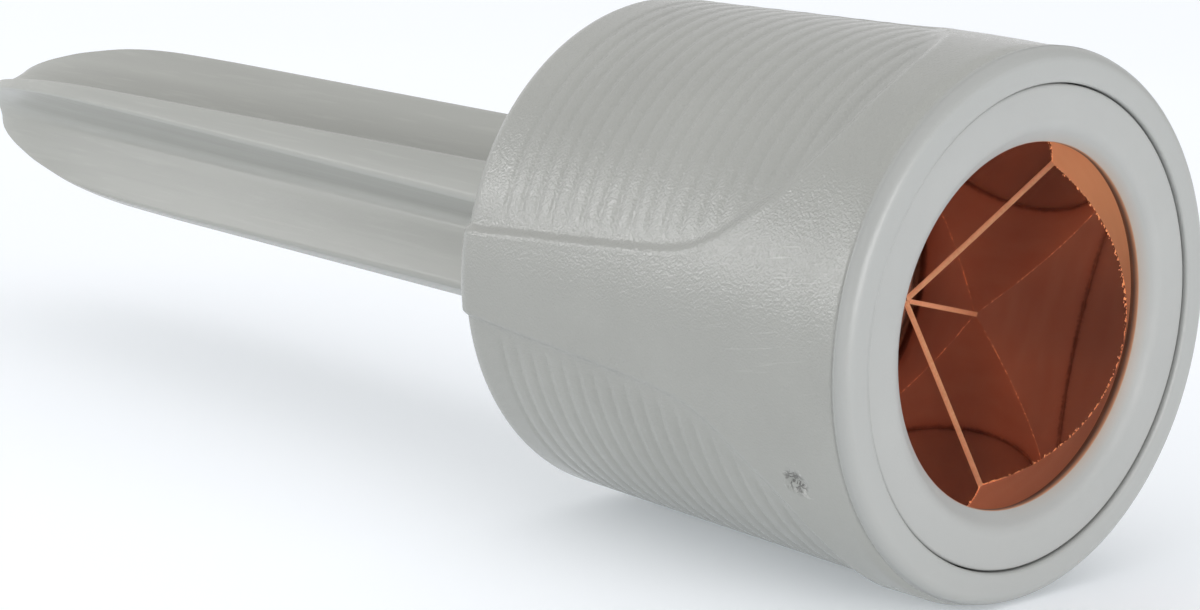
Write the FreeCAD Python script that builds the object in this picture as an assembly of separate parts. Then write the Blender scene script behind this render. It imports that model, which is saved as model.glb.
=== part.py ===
import FreeCAD, Part
import math
import os

# Hand-held survey reflector: a moulded barrel with a copper-backed glass corner cube in its
# front and a cross-shaped plug stem at its back.
# Units are millimetres. The barrel's axis is Y: the glass faces -Y and the stem points +Y.
# The origin is the centre of the barrel's rear seating face, and +Z is up.

V = FreeCAD.Vector
AXIS = V(0, 1, 0)
ORIGIN = V(0, 0, 0)

# ---- barrel ----
BARREL_LEN = 36.0          # rear seating face to the bezel's flat face
RIM_PROUD = 0.25           # rim stands this far in front of the bezel
RIM_R = 18.15
RIM_ROUND = 0.9
PARTING_FROM_FRONT = 0.65  # moulding split line behind the bezel's flat face
REAR_ROUND = 1.7
# outside radius of the raised bands and collar, by distance behind the bezel's flat face
BAND_PROFILE = [(0.65, 18.22), (2.2, 18.14), (4.5, 18.19), (7.0, 18.23), (12.0, 18.21),
                (20.0, 18.17), (28.0, 18.12), (34.3, 18.08)]
GRIP_R_FRONT = 18.19       # grip floor radius, carried forward to the bezel's flat face
GRIP_TAPER = 0.0157        # grip floor radius lost per millimetre towards the rear
GRIP_CENTRES = (60.0, -60.0, 180.0)
# half width of a grip in degrees, by distance behind the bezel's flat face
GRIP_HALF_WIDTH = [(38.5, 51.2), (34.0, 50.1), (30.0, 49.0), (26.0, 48.0), (22.0, 47.0),
                   (18.0, 45.8), (16.0, 45.0), (14.0, 43.4), (12.0, 40.3), (10.0, 35.4),
                   (8.0, 29.0), (7.0, 24.4), (6.0, 18.0), (5.3, 11.0)]
GRIP_APEX = 4.95
STOP_SHIFT = 2.2           # finger stop in front of each grip: an eccentric swell
STOP_R = 16.35
STOP_ROUND = 0.3
RIB_FIRST = 6.25
RIB_PITCH = 1.5
RIB_COUNT = 18
RIB_DEPTH = 0.11
RIB_HALF = 0.34
RIB_INSET = 4.5            # degrees between a grip's side wall and the ends of its ribs
BEZEL_BORE_R = 15.9
BEZEL_BORE_END = 30.5      # distance of the bezel's shoulder from the rear face
CUP_BORE_R = 15.55
SPRING_SHOULDER = 9.0
REAR_BORE_R = 14.0
REAR_WALL = 4.0
STEM_HOLE_R = 8.3
SCAR_PHI = -28.5           # moulding gate mark on the collar
SCAR_FROM_FRONT = 5.3
SCAR_R = 1.0
SCAR_DEPTH = 0.15

# ---- bezel ----
BEZEL_R = 15.8
BEZEL_EDGE = 0.15
CHAMFER_R = 13.1
CHAMFER_ROLL = 1.5         # radius at which the chamfer rolls over into the flat face
LIP_R = 12.0
LIP_BEHIND = 0.87
LIP_LAND = 0.38
GLASS_POCKET_R = 12.95
SEAL_GROOVE_W = 1.2
SEAL_GROOVE_R = 14.8
SEAL_Y = -32.6
SEAL_R = 15.34
SEAL_SECTION = 0.52

# ---- glass corner cube ----
GLASS_R = 12.7
GLASS_BEHIND = 1.6         # glass front behind the bezel's flat face
APEX_DEPTH = 19.0
EDGE_ANGLE = 134.6         # azimuth of one of the three back edges
EDGE_BEVEL = 0.16          # depth of the flat ground on each back edge
COAT = 0.1
COAT_START = 0.4
GASKET_IN_R = 12.15

# ---- cup, pads and spring ----
CUP_R = 15.45
CUP_FRONT = -30.3
CUP_BACK = -10.8
CUP_FLOOR = 2.0
CUP_CAVITY_R = 11.2
CUP_STEP = -19.5
PAD_R = 2.0
PAD_AT = 8.4
SPRING_T = 0.4
SPRING_WAVES = 3
SPRING_IN_R = 14.2
SPRING_OUT_R = 15.35

# ---- stem ----
STEM_LEN = 81.8
FIN_ANGLE = 28.9
# fins thin out towards the tip, more at their outer edges than at their roots
FIN_EDGE_T, FIN_EDGE_TAPER = 3.65, 0.0355
FIN_ROOT_T, FIN_ROOT_TAPER = 3.94, 0.019
FIN_ROUND = 0.17           # rounding of a fin's outer edges, as a share of its thickness there
ROOT_FILLET = 0.8
FIN_W = 7.05
# nose: distance from the tip and reach of the fins from the axis
NOSE = [(0.0, 0.8), (0.15, 1.05), (0.5, 1.45), (1.0, 2.05), (1.7, 2.75), (2.6, 3.3), (4.0, 3.9),
        (6.2, 4.6), (8.2, 5.15), (10.5, 5.62), (14.0, 6.25), (17.5, 6.63), (21.0, 6.84),
        (25.0, 6.93), (30.0, 6.98)]
FLANGE_R = 12.6
FLANGE_T = 3.0
BOSS_R = 8.2
STEM_SEAL_Y = -2.0
STEM_SEAL_W = 1.3
STEM_SEAL_FLOOR = 7.15
STEM_SEAL_R = 7.72
STEM_SEAL_SECTION = 0.55
SCREW_PCD = 21.0
SCREW_R = 1.02
SCREW_HEAD_R = 2.2
SCREW_HEAD_H = 1.5
SCREW_LEN = 5.6
SCREW_CLEAR_R = 1.35
SCREW_PILOT_R = 1.05
SCREW_PILOT_DEPTH = 3.0


def turn(wire_points):
    """Solid of revolution about Y from (radius, y) points."""
    pts = [V(r, y, 0) for r, y in wire_points]
    face = Part.Face(Part.makePolygon(pts + [pts[0]]))
    return face.revolve(ORIGIN, AXIS, 360)


def turn_edges(edges):
    """Solid of revolution about Y from a closed chain of edges in the XY plane."""
    return Part.Face(Part.Wire(edges)).revolve(ORIGIN, AXIS, 360)


def line(a, b):
    return Part.makeLine(V(a[0], a[1], 0), V(b[0], b[1], 0))


def quarter(centre, radius, start_deg, end_deg):
    """Arc in the XY plane from one angle to the other."""
    mid = math.radians((start_deg + end_deg) / 2.0)
    a, b = math.radians(start_deg), math.radians(end_deg)
    pts = [V(centre[0] + radius * math.cos(t), centre[1] + radius * math.sin(t), 0)
           for t in (a, mid, b)]
    return Part.Arc(*pts).toShape()


def spline(points):
    curve = Part.BSplineCurve()
    curve.interpolate([V(x, y, 0) for x, y in points])
    return curve.toShape()


def cyl(radius, y0, y1):
    return Part.makeCylinder(radius, y1 - y0, V(0, y0, 0), AXIS)


def ring(r_in, r_out, y0, y1):
    return cyl(r_out, y0, y1).cut(cyl(r_in, y0 - 1, y1 + 1))


def at_phi(shape, phi):
    """Turn a shape built towards +Z so that it points at azimuth phi, counted from -X to +Z."""
    out = shape.copy()
    out.rotate(ORIGIN, AXIS, phi - 90.0)
    return out


def from_front(d):
    """Y of a plane at distance d behind the bezel's flat face."""
    return d - BARREL_LEN


def grip_floor_r(d):
    return GRIP_R_FRONT - GRIP_TAPER * d


def barrel_blank():
    """Barrel without grips: rim, collar and bands outside, stepped bore inside."""
    front = from_front(-RIM_PROUD)
    tangent = from_front(-RIM_PROUD + RIM_ROUND)
    split = from_front(PARTING_FROM_FRONT)
    skin = [(r, from_front(d)) for d, r in BAND_PROFILE]
    r_end, y_end = skin[-1]
    edge = 0.15
    edges = [
        line((BEZEL_BORE_R + edge, front), (RIM_R - RIM_ROUND, front)),
        quarter((RIM_R - RIM_ROUND, tangent), RIM_ROUND, -90, 0),
    ]
    if split - tangent > 1e-6:
        edges.append(line((RIM_R, tangent), (RIM_R, split)))
    edges += [
        line((RIM_R, split), skin[0]),
        spline(skin),
        quarter((r_end - REAR_ROUND, y_end), REAR_ROUND, 0, 90),
        line((r_end - REAR_ROUND, y_end + REAR_ROUND), (STEM_HOLE_R, 0)),
        line((STEM_HOLE_R, 0), (STEM_HOLE_R, -REAR_WALL)),
        line((STEM_HOLE_R, -REAR_WALL), (REAR_BORE_R, -REAR_WALL)),
        line((REAR_BORE_R, -REAR_WALL), (REAR_BORE_R, -SPRING_SHOULDER)),
        line((REAR_BORE_R, -SPRING_SHOULDER), (CUP_BORE_R, -SPRING_SHOULDER)),
        line((CUP_BORE_R, -SPRING_SHOULDER), (CUP_BORE_R, -BEZEL_BORE_END)),
        line((CUP_BORE_R, -BEZEL_BORE_END), (BEZEL_BORE_R, -BEZEL_BORE_END)),
        line((BEZEL_BORE_R, -BEZEL_BORE_END), (BEZEL_BORE_R, front + edge)),
        line((BEZEL_BORE_R, front + edge), (BEZEL_BORE_R + edge, front)),
    ]
    return turn_edges(edges)


def finger_stop():
    """Swell of the collar in front of one grip, highest at the grip's centre line."""
    y0, y1 = from_front(PARTING_FROM_FRONT), from_front(12.5)
    r = STOP_R
    edges = [
        line((r - 3.0, y0), (r - STOP_ROUND, y0)),
        quarter((r - STOP_ROUND, y0 + STOP_ROUND), STOP_ROUND, -90, 0),
        line((r, y0 + STOP_ROUND), (r, y1)),
        line((r, y1), (r - 3.0, y1)),
        line((r - 3.0, y1), (r - 3.0, y0)),
    ]
    body = turn_edges(edges)
    body.translate(V(0, 0, STOP_SHIFT))
    return body.cut(cyl(17.2, y0 - 5, y1 + 5))


def grip_outline(u, inset_deg, inset_front):
    """Outline of one grip in the plane at height u over the axis, as a closed wire."""
    pts = []
    for d, h in GRIP_HALF_WIDTH:
        a = h - inset_deg
        if a <= 2.0:
            continue
        pts.append((a, d + inset_front))
    sides = [(-a, d) for a, d in pts] + [(0.0, GRIP_APEX + inset_front)] + \
            [(a, d) for a, d in reversed(pts)]
    placed = []
    for a, d in sides:
        ang = math.radians(a)
        lean = math.radians(a + 12.0 * a / 50.0)
        tb, ub = 18.1 * math.sin(ang), 18.1 * math.cos(ang)
        t = tb + (u - ub) * math.tan(lean)
        dd = d - (u - ub) * math.tan(math.radians(14.0)) * max(0.0, 1.0 - abs(a) / 45.0)
        placed.append(V(t, from_front(dd), u))
    curve = Part.BSplineCurve()
    curve.interpolate(placed)
    return Part.Wire([curve.toShape(), Part.makeLine(placed[-1], placed[0])])


def grip_prism(inset_deg=0.0, inset_front=0.0):
    """Volume over one grip, open to the rear, with walls that lean outwards."""
    low = grip_outline(10.0, inset_deg, inset_front)
    high = grip_outline(23.0, inset_deg, inset_front)
    return Part.makeLoft([low, high], True, True)


def grip_shell():
    """Everything outside the grip floor, including the floor's rounded rear edge."""
    d1 = BAND_PROFILE[-1][0]
    r1 = grip_floor_r(d1)
    y1 = from_front(d1)
    edges = [
        line((grip_floor_r(0.0), from_front(0.0)), (r1, y1)),
        quarter((r1 - REAR_ROUND, y1), REAR_ROUND, 0, 90),
        line((r1 - REAR_ROUND, y1 + REAR_ROUND), (r1 - REAR_ROUND, 2.0)),
        line((r1 - REAR_ROUND, 2.0), (26.0, 2.0)),
        line((26.0, 2.0), (26.0, from_front(0.0))),
        line((26.0, from_front(0.0)), (grip_floor_r(0.0), from_front(0.0))),
    ]
    return turn_edges(edges)


def rib_groove(i):
    """Groove ring between two ribs."""
    d = RIB_FIRST + i * RIB_PITCH
    r = grip_floor_r(d)
    up = 0.3
    wide = RIB_HALF * (RIB_DEPTH + up) / RIB_DEPTH
    return turn([(r - RIB_DEPTH, from_front(d)), (r + up, from_front(d - wide)),
                 (r + up, from_front(d + wide))])


def gate_mark():
    tool = Part.makeCylinder(SCAR_R, 3.0, V(0, from_front(SCAR_FROM_FRONT), 18.2 - SCAR_DEPTH),
                             V(0, 0, 1))
    return at_phi(tool, SCAR_PHI)


def pilot_holes():
    tool = Part.makeCylinder(SCREW_PILOT_R, SCREW_PILOT_DEPTH, V(SCREW_PCD / 2.0, -REAR_WALL, 0),
                             AXIS)
    return four(tool)


def four(shape):
    """Four copies about the axis, set between the stem's fins."""
    out = []
    for k in range(4):
        c = shape.copy()
        c.rotate(ORIGIN, AXIS, FIN_ANGLE + 45.0 + 90.0 * k)
        out.append(c)
    return out


def make_barrel_shell():
    body = barrel_blank()
    stop = finger_stop()
    body = body.fuse([at_phi(stop, p) for p in GRIP_CENTRES])
    floor_shell = grip_shell()
    prism = grip_prism()
    recess = floor_shell.common(prism)
    body = body.cut([at_phi(recess, p) for p in GRIP_CENTRES])
    inner = grip_prism(RIB_INSET, 0.7)
    grooves = [rib_groove(i).common(inner) for i in range(RIB_COUNT)]
    tools = []
    for p in GRIP_CENTRES:
        tools += [at_phi(g, p) for g in grooves if g.Volume > 1e-6]
    body = body.cut(tools)
    body = body.cut([gate_mark()] + pilot_holes())
    return body


def make_bezel_ring():
    f = from_front(0.0)
    lip_y = f + LIP_BEHIND
    land_y = lip_y + LIP_LAND
    back = -BEZEL_BORE_END
    g0, g1 = SEAL_Y - SEAL_GROOVE_W / 2.0, SEAL_Y + SEAL_GROOVE_W / 2.0
    lean = math.atan2(LIP_BEHIND, CHAMFER_R - LIP_R)
    start = CHAMFER_R + CHAMFER_ROLL * math.tan(lean / 2.0)
    roll_end = (start - CHAMFER_ROLL * math.sin(lean), f + CHAMFER_ROLL * (1.0 - math.cos(lean)))
    pts = [
        (start, f), (BEZEL_R - BEZEL_EDGE, f), (BEZEL_R, f + BEZEL_EDGE),
        (BEZEL_R, g0), (SEAL_GROOVE_R, g0), (SEAL_GROOVE_R, g1), (BEZEL_R, g1),
        (BEZEL_R, back), (GLASS_POCKET_R, back), (GLASS_POCKET_R, land_y),
        (LIP_R, land_y), (LIP_R, lip_y), roll_end,
    ]
    edges = [line(a, b) for a, b in zip(pts, pts[1:])]
    edges.append(quarter((start, f + CHAMFER_ROLL), CHAMFER_ROLL,
                         -90.0 - math.degrees(lean), -90.0))
    return turn_edges(edges)


def make_bezel_seal():
    return Part.makeTorus(SEAL_R, SEAL_SECTION, V(0, SEAL_Y, 0), AXIS)


def make_front_gasket():
    y0 = from_front(LIP_BEHIND + LIP_LAND)
    return ring(GASKET_IN_R, GLASS_R, y0, from_front(GLASS_BEHIND))


def half_space(phi, point, tilt_deg):
    """Large block behind a plane through point whose normal leans tilt_deg from +Y to phi."""
    size = 60.0
    block = Part.makeBox(2 * size, 2 * size, size, V(-size, -size, 0))
    tilt = math.radians(tilt_deg)
    a = math.radians(phi)
    normal = V(-math.cos(a) * math.sin(tilt), math.cos(tilt), math.sin(a) * math.sin(tilt))
    block.Placement = FreeCAD.Placement(point, FreeCAD.Rotation(V(0, 0, 1), normal))
    return block


def corner_solid(radius, front_y, apex_y, bevel):
    """Cylinder ending in three mutually square faces, with a narrow flat on each back edge."""
    body = cyl(radius, front_y, apex_y + 1.0)
    apex = V(0, apex_y, 0)
    cuts = []
    for k in range(3):
        cuts.append(half_space(EDGE_ANGLE + 60.0 + 120.0 * k, apex, 54.7356))
        edge_phi = EDGE_ANGLE + 120.0 * k
        a = math.radians(edge_phi)
        n = V(-math.cos(a) * math.sin(math.radians(35.2644)), math.cos(math.radians(35.2644)),
              math.sin(a) * math.sin(math.radians(35.2644)))
        cuts.append(half_space(edge_phi, apex - n * bevel, 35.2644))
    return body.cut(cuts)


def make_prism_glass():
    front = from_front(GLASS_BEHIND)
    return corner_solid(GLASS_R, front, front + APEX_DEPTH, EDGE_BEVEL)


def coat_outer():
    front = from_front(GLASS_BEHIND)
    return corner_solid(GLASS_R + COAT, front + COAT_START,
                        front + APEX_DEPTH + COAT * math.sqrt(3.0),
                        EDGE_BEVEL + COAT * (math.sqrt(2.0) - 1.0))


def make_copper_coating():
    return coat_outer().cut(make_prism_glass())


def make_prism_cup():
    f, b = CUP_FRONT, CUP_BACK
    return turn([
        (GLASS_POCKET_R, f), (CUP_R - 0.3, f), (CUP_R, f + 0.3), (CUP_R, b),
        (6.0, b), (6.0, b - CUP_FLOOR), (CUP_CAVITY_R, b - CUP_FLOOR),
        (CUP_CAVITY_R, CUP_STEP), (GLASS_POCKET_R, CUP_STEP - 1.75),
    ])


def make_facet_pads():
    """Three elastic pillars between the coated faces and the cup's wall."""
    apex_y = from_front(GLASS_BEHIND) + APEX_DEPTH
    tilt = math.radians(54.7356)
    n = V(0, math.cos(tilt), math.sin(tilt))
    start = V(0, apex_y - math.sqrt(2.0) * PAD_AT, PAD_AT)
    pad = Part.makeCylinder(PAD_R, 9.0, start - n * 1.0, n)
    pad = pad.common(cyl(GLASS_POCKET_R - 0.01, -33.0, CUP_STEP - 2.0))
    pads = [at_phi(pad, EDGE_ANGLE + 60.0 + 120.0 * k) for k in range(3)]
    solid = coat_outer()
    return Part.makeCompound([p.cut(solid) for p in pads])


def make_wave_spring():
    """Flat wire ring bent into waves, between the cup and the barrel's shoulder."""
    y_mid = (CUP_BACK - SPRING_SHOULDER) / 2.0
    amp = (-SPRING_SHOULDER - CUP_BACK - SPRING_T) / 2.0 - 0.01
    n = 12 * SPRING_WAVES

    def loop(r, dy):
        pts = []
        for i in range(n):
            a = 2 * math.pi * i / n
            pts.append(V(r * math.cos(a), y_mid + dy + amp * math.cos(SPRING_WAVES * a),
                         r * math.sin(a)))
        c = Part.BSplineCurve()
        c.interpolate(pts, PeriodicFlag=True)
        return c.toShape()

    t = SPRING_T / 2.0
    a, b = loop(SPRING_IN_R, -t), loop(SPRING_OUT_R, -t)
    c, d = loop(SPRING_IN_R, t), loop(SPRING_OUT_R, t)
    faces = [Part.makeRuledSurface(a, b), Part.makeRuledSurface(c, d),
             Part.makeRuledSurface(a, c), Part.makeRuledSurface(b, d)]
    shell = Part.makeShell(faces)
    shell.sewShape()
    solid = Part.makeSolid(shell)
    if solid.Volume < 0:
        solid.reverse()
    return solid


def fin_section(y, w):
    """Closed wire round the cross at height y: four fins that reach w from the axis."""
    h = (FIN_EDGE_T - FIN_EDGE_TAPER * y) / 2.0
    root = min((FIN_ROOT_T - FIN_ROOT_TAPER * y) / 2.0, 0.55 * w + 0.05)
    h = min(h, root)
    e = min(2.0 * FIN_ROUND * h, 0.45 * w)
    slope = (root - h) / (w - e - root)
    run = min(ROOT_FILLET, 0.4 * (w - e - root))
    half = math.acos(-2.0 * slope / (1.0 + slope * slope)) / 2.0
    leg = run * math.sqrt(1.0 + slope * slope)
    mid = root + leg * (1.0 - math.sin(half)) / math.cos(half) / math.sqrt(2.0)
    low = root - slope * run
    k = math.sqrt(0.5)
    edges = []

    def rot(p, q):
        x, z = p
        for _ in range(q):
            x, z = -z, x
        return V(x, y, z)

    for q in range(4):
        def arc(p1, p2, p3):
            edges.append(Part.Arc(rot(p1, q), rot(p2, q), rot(p3, q)).toShape())

        def seg(p1, p2):
            edges.append(Part.makeLine(rot(p1, q), rot(p2, q)))
        seg((root + run, -low), (w - e, -h))
        arc((w - e, -h), (w - e + e * k, -h + e - e * k), (w, -h + e))
        seg((w, -h + e), (w, h - e))
        arc((w, h - e), (w - e + e * k, h - e + e * k), (w - e, h))
        seg((w - e, h), (root + run, low))
        arc((root + run, low), (mid, mid), (low, root + run))
    return Part.Wire(edges)


def make_fins():
    """The cross, lofted from the hub to the blunt tip."""
    wires = [fin_section(-3.0, FIN_W), fin_section(0.0, FIN_W)]
    wires += [fin_section(STEM_LEN - d, w) for d, w in reversed(NOSE)]
    fins = Part.makeLoft(wires, True, True)
    fins.rotate(ORIGIN, AXIS, FIN_ANGLE)
    return fins


def make_stem():
    fins = make_fins()
    g0, g1 = STEM_SEAL_Y - STEM_SEAL_W / 2.0, STEM_SEAL_Y + STEM_SEAL_W / 2.0
    hub = turn([
        (0, -REAR_WALL - FLANGE_T), (FLANGE_R, -REAR_WALL - FLANGE_T), (FLANGE_R, -REAR_WALL),
        (BOSS_R, -REAR_WALL), (BOSS_R, g0), (STEM_SEAL_FLOOR, g0), (STEM_SEAL_FLOOR, g1),
        (BOSS_R, g1), (BOSS_R, 0), (0, 0),
    ])
    hole = Part.makeCylinder(SCREW_CLEAR_R, FLANGE_T + 2.0,
                             V(SCREW_PCD / 2.0, -REAR_WALL - FLANGE_T - 1.0, 0), AXIS)
    return hub.fuse(fins).cut(four(hole)).removeSplitter()


def make_stem_seal():
    return Part.makeTorus(STEM_SEAL_R, STEM_SEAL_SECTION, V(0, STEM_SEAL_Y, 0), AXIS)


def make_stem_screws():
    y = -REAR_WALL - FLANGE_T
    x = SCREW_PCD / 2.0
    head = Part.makeCylinder(SCREW_HEAD_R, SCREW_HEAD_H, V(x, y - SCREW_HEAD_H, 0), AXIS)
    shank = Part.makeCylinder(SCREW_R, SCREW_LEN, V(x, y, 0), AXIS)
    slot_a = Part.makeBox(2.4, 0.8, 0.5, V(x - 1.2, y - SCREW_HEAD_H, -0.25))
    slot_b = Part.makeBox(0.5, 0.8, 2.4, V(x - 0.25, y - SCREW_HEAD_H, -1.2))
    screw = head.fuse(shank).cut([slot_a, slot_b])
    return Part.makeCompound(four(screw))


NODES = {
    "barrel_shell": make_barrel_shell,
    "bezel_ring": make_bezel_ring,
    "bezel_seal": make_bezel_seal,
    "front_gasket": make_front_gasket,
    "prism_glass": make_prism_glass,
    "copper_coating": make_copper_coating,
    "prism_cup": make_prism_cup,
    "facet_pads": make_facet_pads,
    "wave_spring": make_wave_spring,
    "stem": make_stem,
    "stem_seal": make_stem_seal,
    "stem_screws": make_stem_screws,
}

os.makedirs("parts", exist_ok=True)
for name, build in NODES.items():
    shape = build()
    solids = shape.Solids
    print(name, "solids", len(solids), "valid", shape.isValid(),
          "closed", all(s.isClosed() for s in solids), "volume %.1f" % shape.Volume,
          "faces", len(shape.Faces))
    out = solids[0] if len(solids) == 1 else Part.makeCompound(solids)
    out.exportStep("parts/%s.step" % name)
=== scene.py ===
import math

import bmesh
import bpy
import numpy as np
from mathutils import Matrix, Vector


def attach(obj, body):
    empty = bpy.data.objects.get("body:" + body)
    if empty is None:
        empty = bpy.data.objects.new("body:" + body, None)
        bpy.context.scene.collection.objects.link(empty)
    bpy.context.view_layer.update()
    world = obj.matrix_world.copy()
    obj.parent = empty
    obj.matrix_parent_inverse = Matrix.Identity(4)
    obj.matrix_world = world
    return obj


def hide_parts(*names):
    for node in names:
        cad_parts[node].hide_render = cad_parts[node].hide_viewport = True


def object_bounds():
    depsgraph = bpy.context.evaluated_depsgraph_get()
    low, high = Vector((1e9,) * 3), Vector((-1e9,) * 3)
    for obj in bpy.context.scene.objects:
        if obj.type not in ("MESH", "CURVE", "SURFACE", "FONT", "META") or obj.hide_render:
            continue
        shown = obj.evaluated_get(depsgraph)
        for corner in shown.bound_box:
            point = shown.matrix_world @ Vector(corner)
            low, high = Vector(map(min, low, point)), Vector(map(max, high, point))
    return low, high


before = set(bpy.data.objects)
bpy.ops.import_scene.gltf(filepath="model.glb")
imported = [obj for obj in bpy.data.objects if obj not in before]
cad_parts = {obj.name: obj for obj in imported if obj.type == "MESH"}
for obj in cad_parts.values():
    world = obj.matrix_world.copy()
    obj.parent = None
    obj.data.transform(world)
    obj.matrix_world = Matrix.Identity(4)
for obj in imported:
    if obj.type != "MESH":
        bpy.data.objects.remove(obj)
cad_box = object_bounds()
MM = 0.001

# ------------------------------------------------------------------ sizes in mm
# They are the CAD's, but for softer and slightly shallower ribs and a torn gate mark.
LEN = 36.0                     # rear seating face to the bezel's flat face
RIM_PROUD, RIM_R, RIM_ROUND = 0.25, 18.15, 0.9
PARTING = 0.65                 # the moulding's split line, behind the bezel's flat face
BAND_END, REAR_ROUND = 34.3, 1.7
# distance behind the bezel's flat face and radius of the smooth bands
BAND = [(0.65, 18.22), (2.2, 18.14), (4.5, 18.19), (7.0, 18.23), (12.0, 18.21),
        (20.0, 18.17), (28.0, 18.12), (34.3, 18.08)]
SKIN_INSET = 0.035             # how far the drawn skin lies inside the CAD skin
GRIP_R, GRIP_TAPER = 18.19, 0.0157
GRIP_CENTRES = (60.0, -60.0, 180.0)
# distance behind the bezel's flat face and half width in degrees of a grip
GRIP_HALF = [(4.95, 0.0), (5.3, 11.0), (6.0, 18.0), (7.0, 24.4), (8.0, 29.0), (10.0, 35.4),
             (12.0, 40.3), (14.0, 43.4), (16.0, 45.0), (18.0, 45.8), (22.0, 47.0), (26.0, 48.0),
             (30.0, 49.0), (34.0, 50.1), (38.5, 51.2)]
GRIP_ARC_R = 18.1              # turns an azimuth on the skin into a length
STOP_SHIFT, STOP_R = 2.2, 16.35
RIB_FIRST, RIB_PITCH, RIB_COUNT, RIB_DEPTH = 6.25, 1.5, 18, 0.085
BEZEL_BORE_R, CUP_BORE_R, REAR_BORE_R = 15.9, 15.55, 14.0
BEZEL_SEAT, CUP_SEAT = -30.5, -9.0      # y of the shoulders in the barrel's bore
STEM_HOLE_R, REAR_WALL = 8.3, 4.0
SCAR_PHI, SCAR_D, SCAR_ARC_R = -28.5, 5.3, 18.2

BEZEL_R, CHAMFER_R, CHAMFER_ROLL, LIP_R = 15.8, 13.1, 1.5, 12.0
BEZEL_SEAL_FLOOR, BEZEL_SEAL_FRONT, BEZEL_SEAL_BACK = 14.8, -33.2, -32.0
BEZEL_INSIDE_R, GASKET_DEPTH = 12.95, 1.25
GASKET_R, GASKET_WAIST_R = 12.15, 12.1

GLASS_R, GLASS_BEHIND, APEX_DEPTH = 12.7, 1.6, 19.0
EDGE_ANGLE, EDGE_BEVEL, FRONT_BEVEL = 134.6, 0.16, 0.10
COAT_START, COAT_INSIDE, COAT_OUTSIDE = 0.4, 0.03, 0.095

STEM_LEN, FIN_ANGLE, FIN_W, FIN_NOSE_W = 81.8, 28.9, 7.05, 6.98
FIN_EDGE_T, FIN_EDGE_TAPER = 3.65, 0.0355
FIN_ROOT_T, FIN_ROOT_TAPER = 3.94, 0.019
FIN_ROUND, ROOT_FILLET = 0.17, 0.8
# distance from the tip and reach of the fins from the axis
NOSE = [(0.0, 0.8), (0.15, 1.05), (0.5, 1.45), (1.0, 2.05), (1.7, 2.75), (2.6, 3.3), (4.0, 3.9),
        (6.2, 4.6), (8.2, 5.15), (10.5, 5.62), (14.0, 6.25), (17.5, 6.63), (21.0, 6.84),
        (25.0, 6.93), (30.0, FIN_NOSE_W)]
FLANGE_R, FLANGE_T, BOSS_R = 12.6, 3.0, 8.2
STEM_SEAL_FLOOR, STEM_SEAL_FRONT, STEM_SEAL_BACK = 7.15, -2.65, -1.35


def behind(d):
    """Y in metres of the plane d mm behind the bezel's flat face."""
    return (d - LEN) * MM


def direction(phi):
    """Unit vectors in X and Z at azimuth phi in degrees, counted from -X to +Z."""
    p = np.radians(phi)
    return -np.cos(p), np.sin(p)


# ------------------------------------------------------------------ mesh helpers
def smoothstep(x):
    x = np.clip(x, 0.0, 1.0)
    return x * x * (3.0 - 2.0 * x)


def smooth_curve(points, x):
    """Smooth curve through (x, y) points with x rising."""
    xs, ys = np.array(points, float).T
    m = np.gradient(ys, xs)
    i = np.clip(np.searchsorted(xs, x) - 1, 0, len(xs) - 2)
    h = xs[i + 1] - xs[i]
    t = np.clip((x - xs[i]) / h, 0.0, 1.0)
    t2, t3 = t * t, t * t * t
    return ((2 * t3 - 3 * t2 + 1) * ys[i] + (t3 - 2 * t2 + t) * h * m[i]
            + (-2 * t3 + 3 * t2) * ys[i + 1] + (t3 - t2) * h * m[i + 1])


def mesh_object(name, verts, faces, mats, face_mats=None, sharp=35.0):
    me = bpy.data.meshes.new(name)
    me.from_pydata([tuple(v) for v in verts], [], faces)
    me.validate()
    for m in mats:
        me.materials.append(m)
    if face_mats is not None:
        me.polygons.foreach_set("material_index", face_mats)
    bm = bmesh.new()
    bm.from_mesh(me)
    bmesh.ops.recalc_face_normals(bm, faces=bm.faces)
    bm.to_mesh(me)
    bm.free()
    me.shade_smooth()
    me.set_sharp_from_angle(angle=math.radians(sharp))
    me.update()
    ob = bpy.data.objects.new(name, me)
    bpy.context.scene.collection.objects.link(ob)
    return ob


def grid_faces(rows, cols, wrap_rows=False):
    """Quads of a grid whose columns close on themselves."""
    out = []
    last = rows if wrap_rows else rows - 1
    for i in range(last):
        a, b = i * cols, ((i + 1) % rows) * cols
        for j in range(cols):
            k = (j + 1) % cols
            out.append((a + j, a + k, b + k, b + j))
    return out


def lathe(name, profile, seg, mats, sharp=35.0):
    """Closed ring of revolution from a closed list of (radius, y) points in mm."""
    dx, dz = direction(np.arange(seg) * 360.0 / seg)
    verts = []
    for r, y in profile:
        verts += [(r * a * MM, y * MM, r * b * MM) for a, b in zip(dx, dz)]
    return mesh_object(name, verts, grid_faces(len(profile), seg, wrap_rows=True), mats, sharp=sharp)


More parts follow.
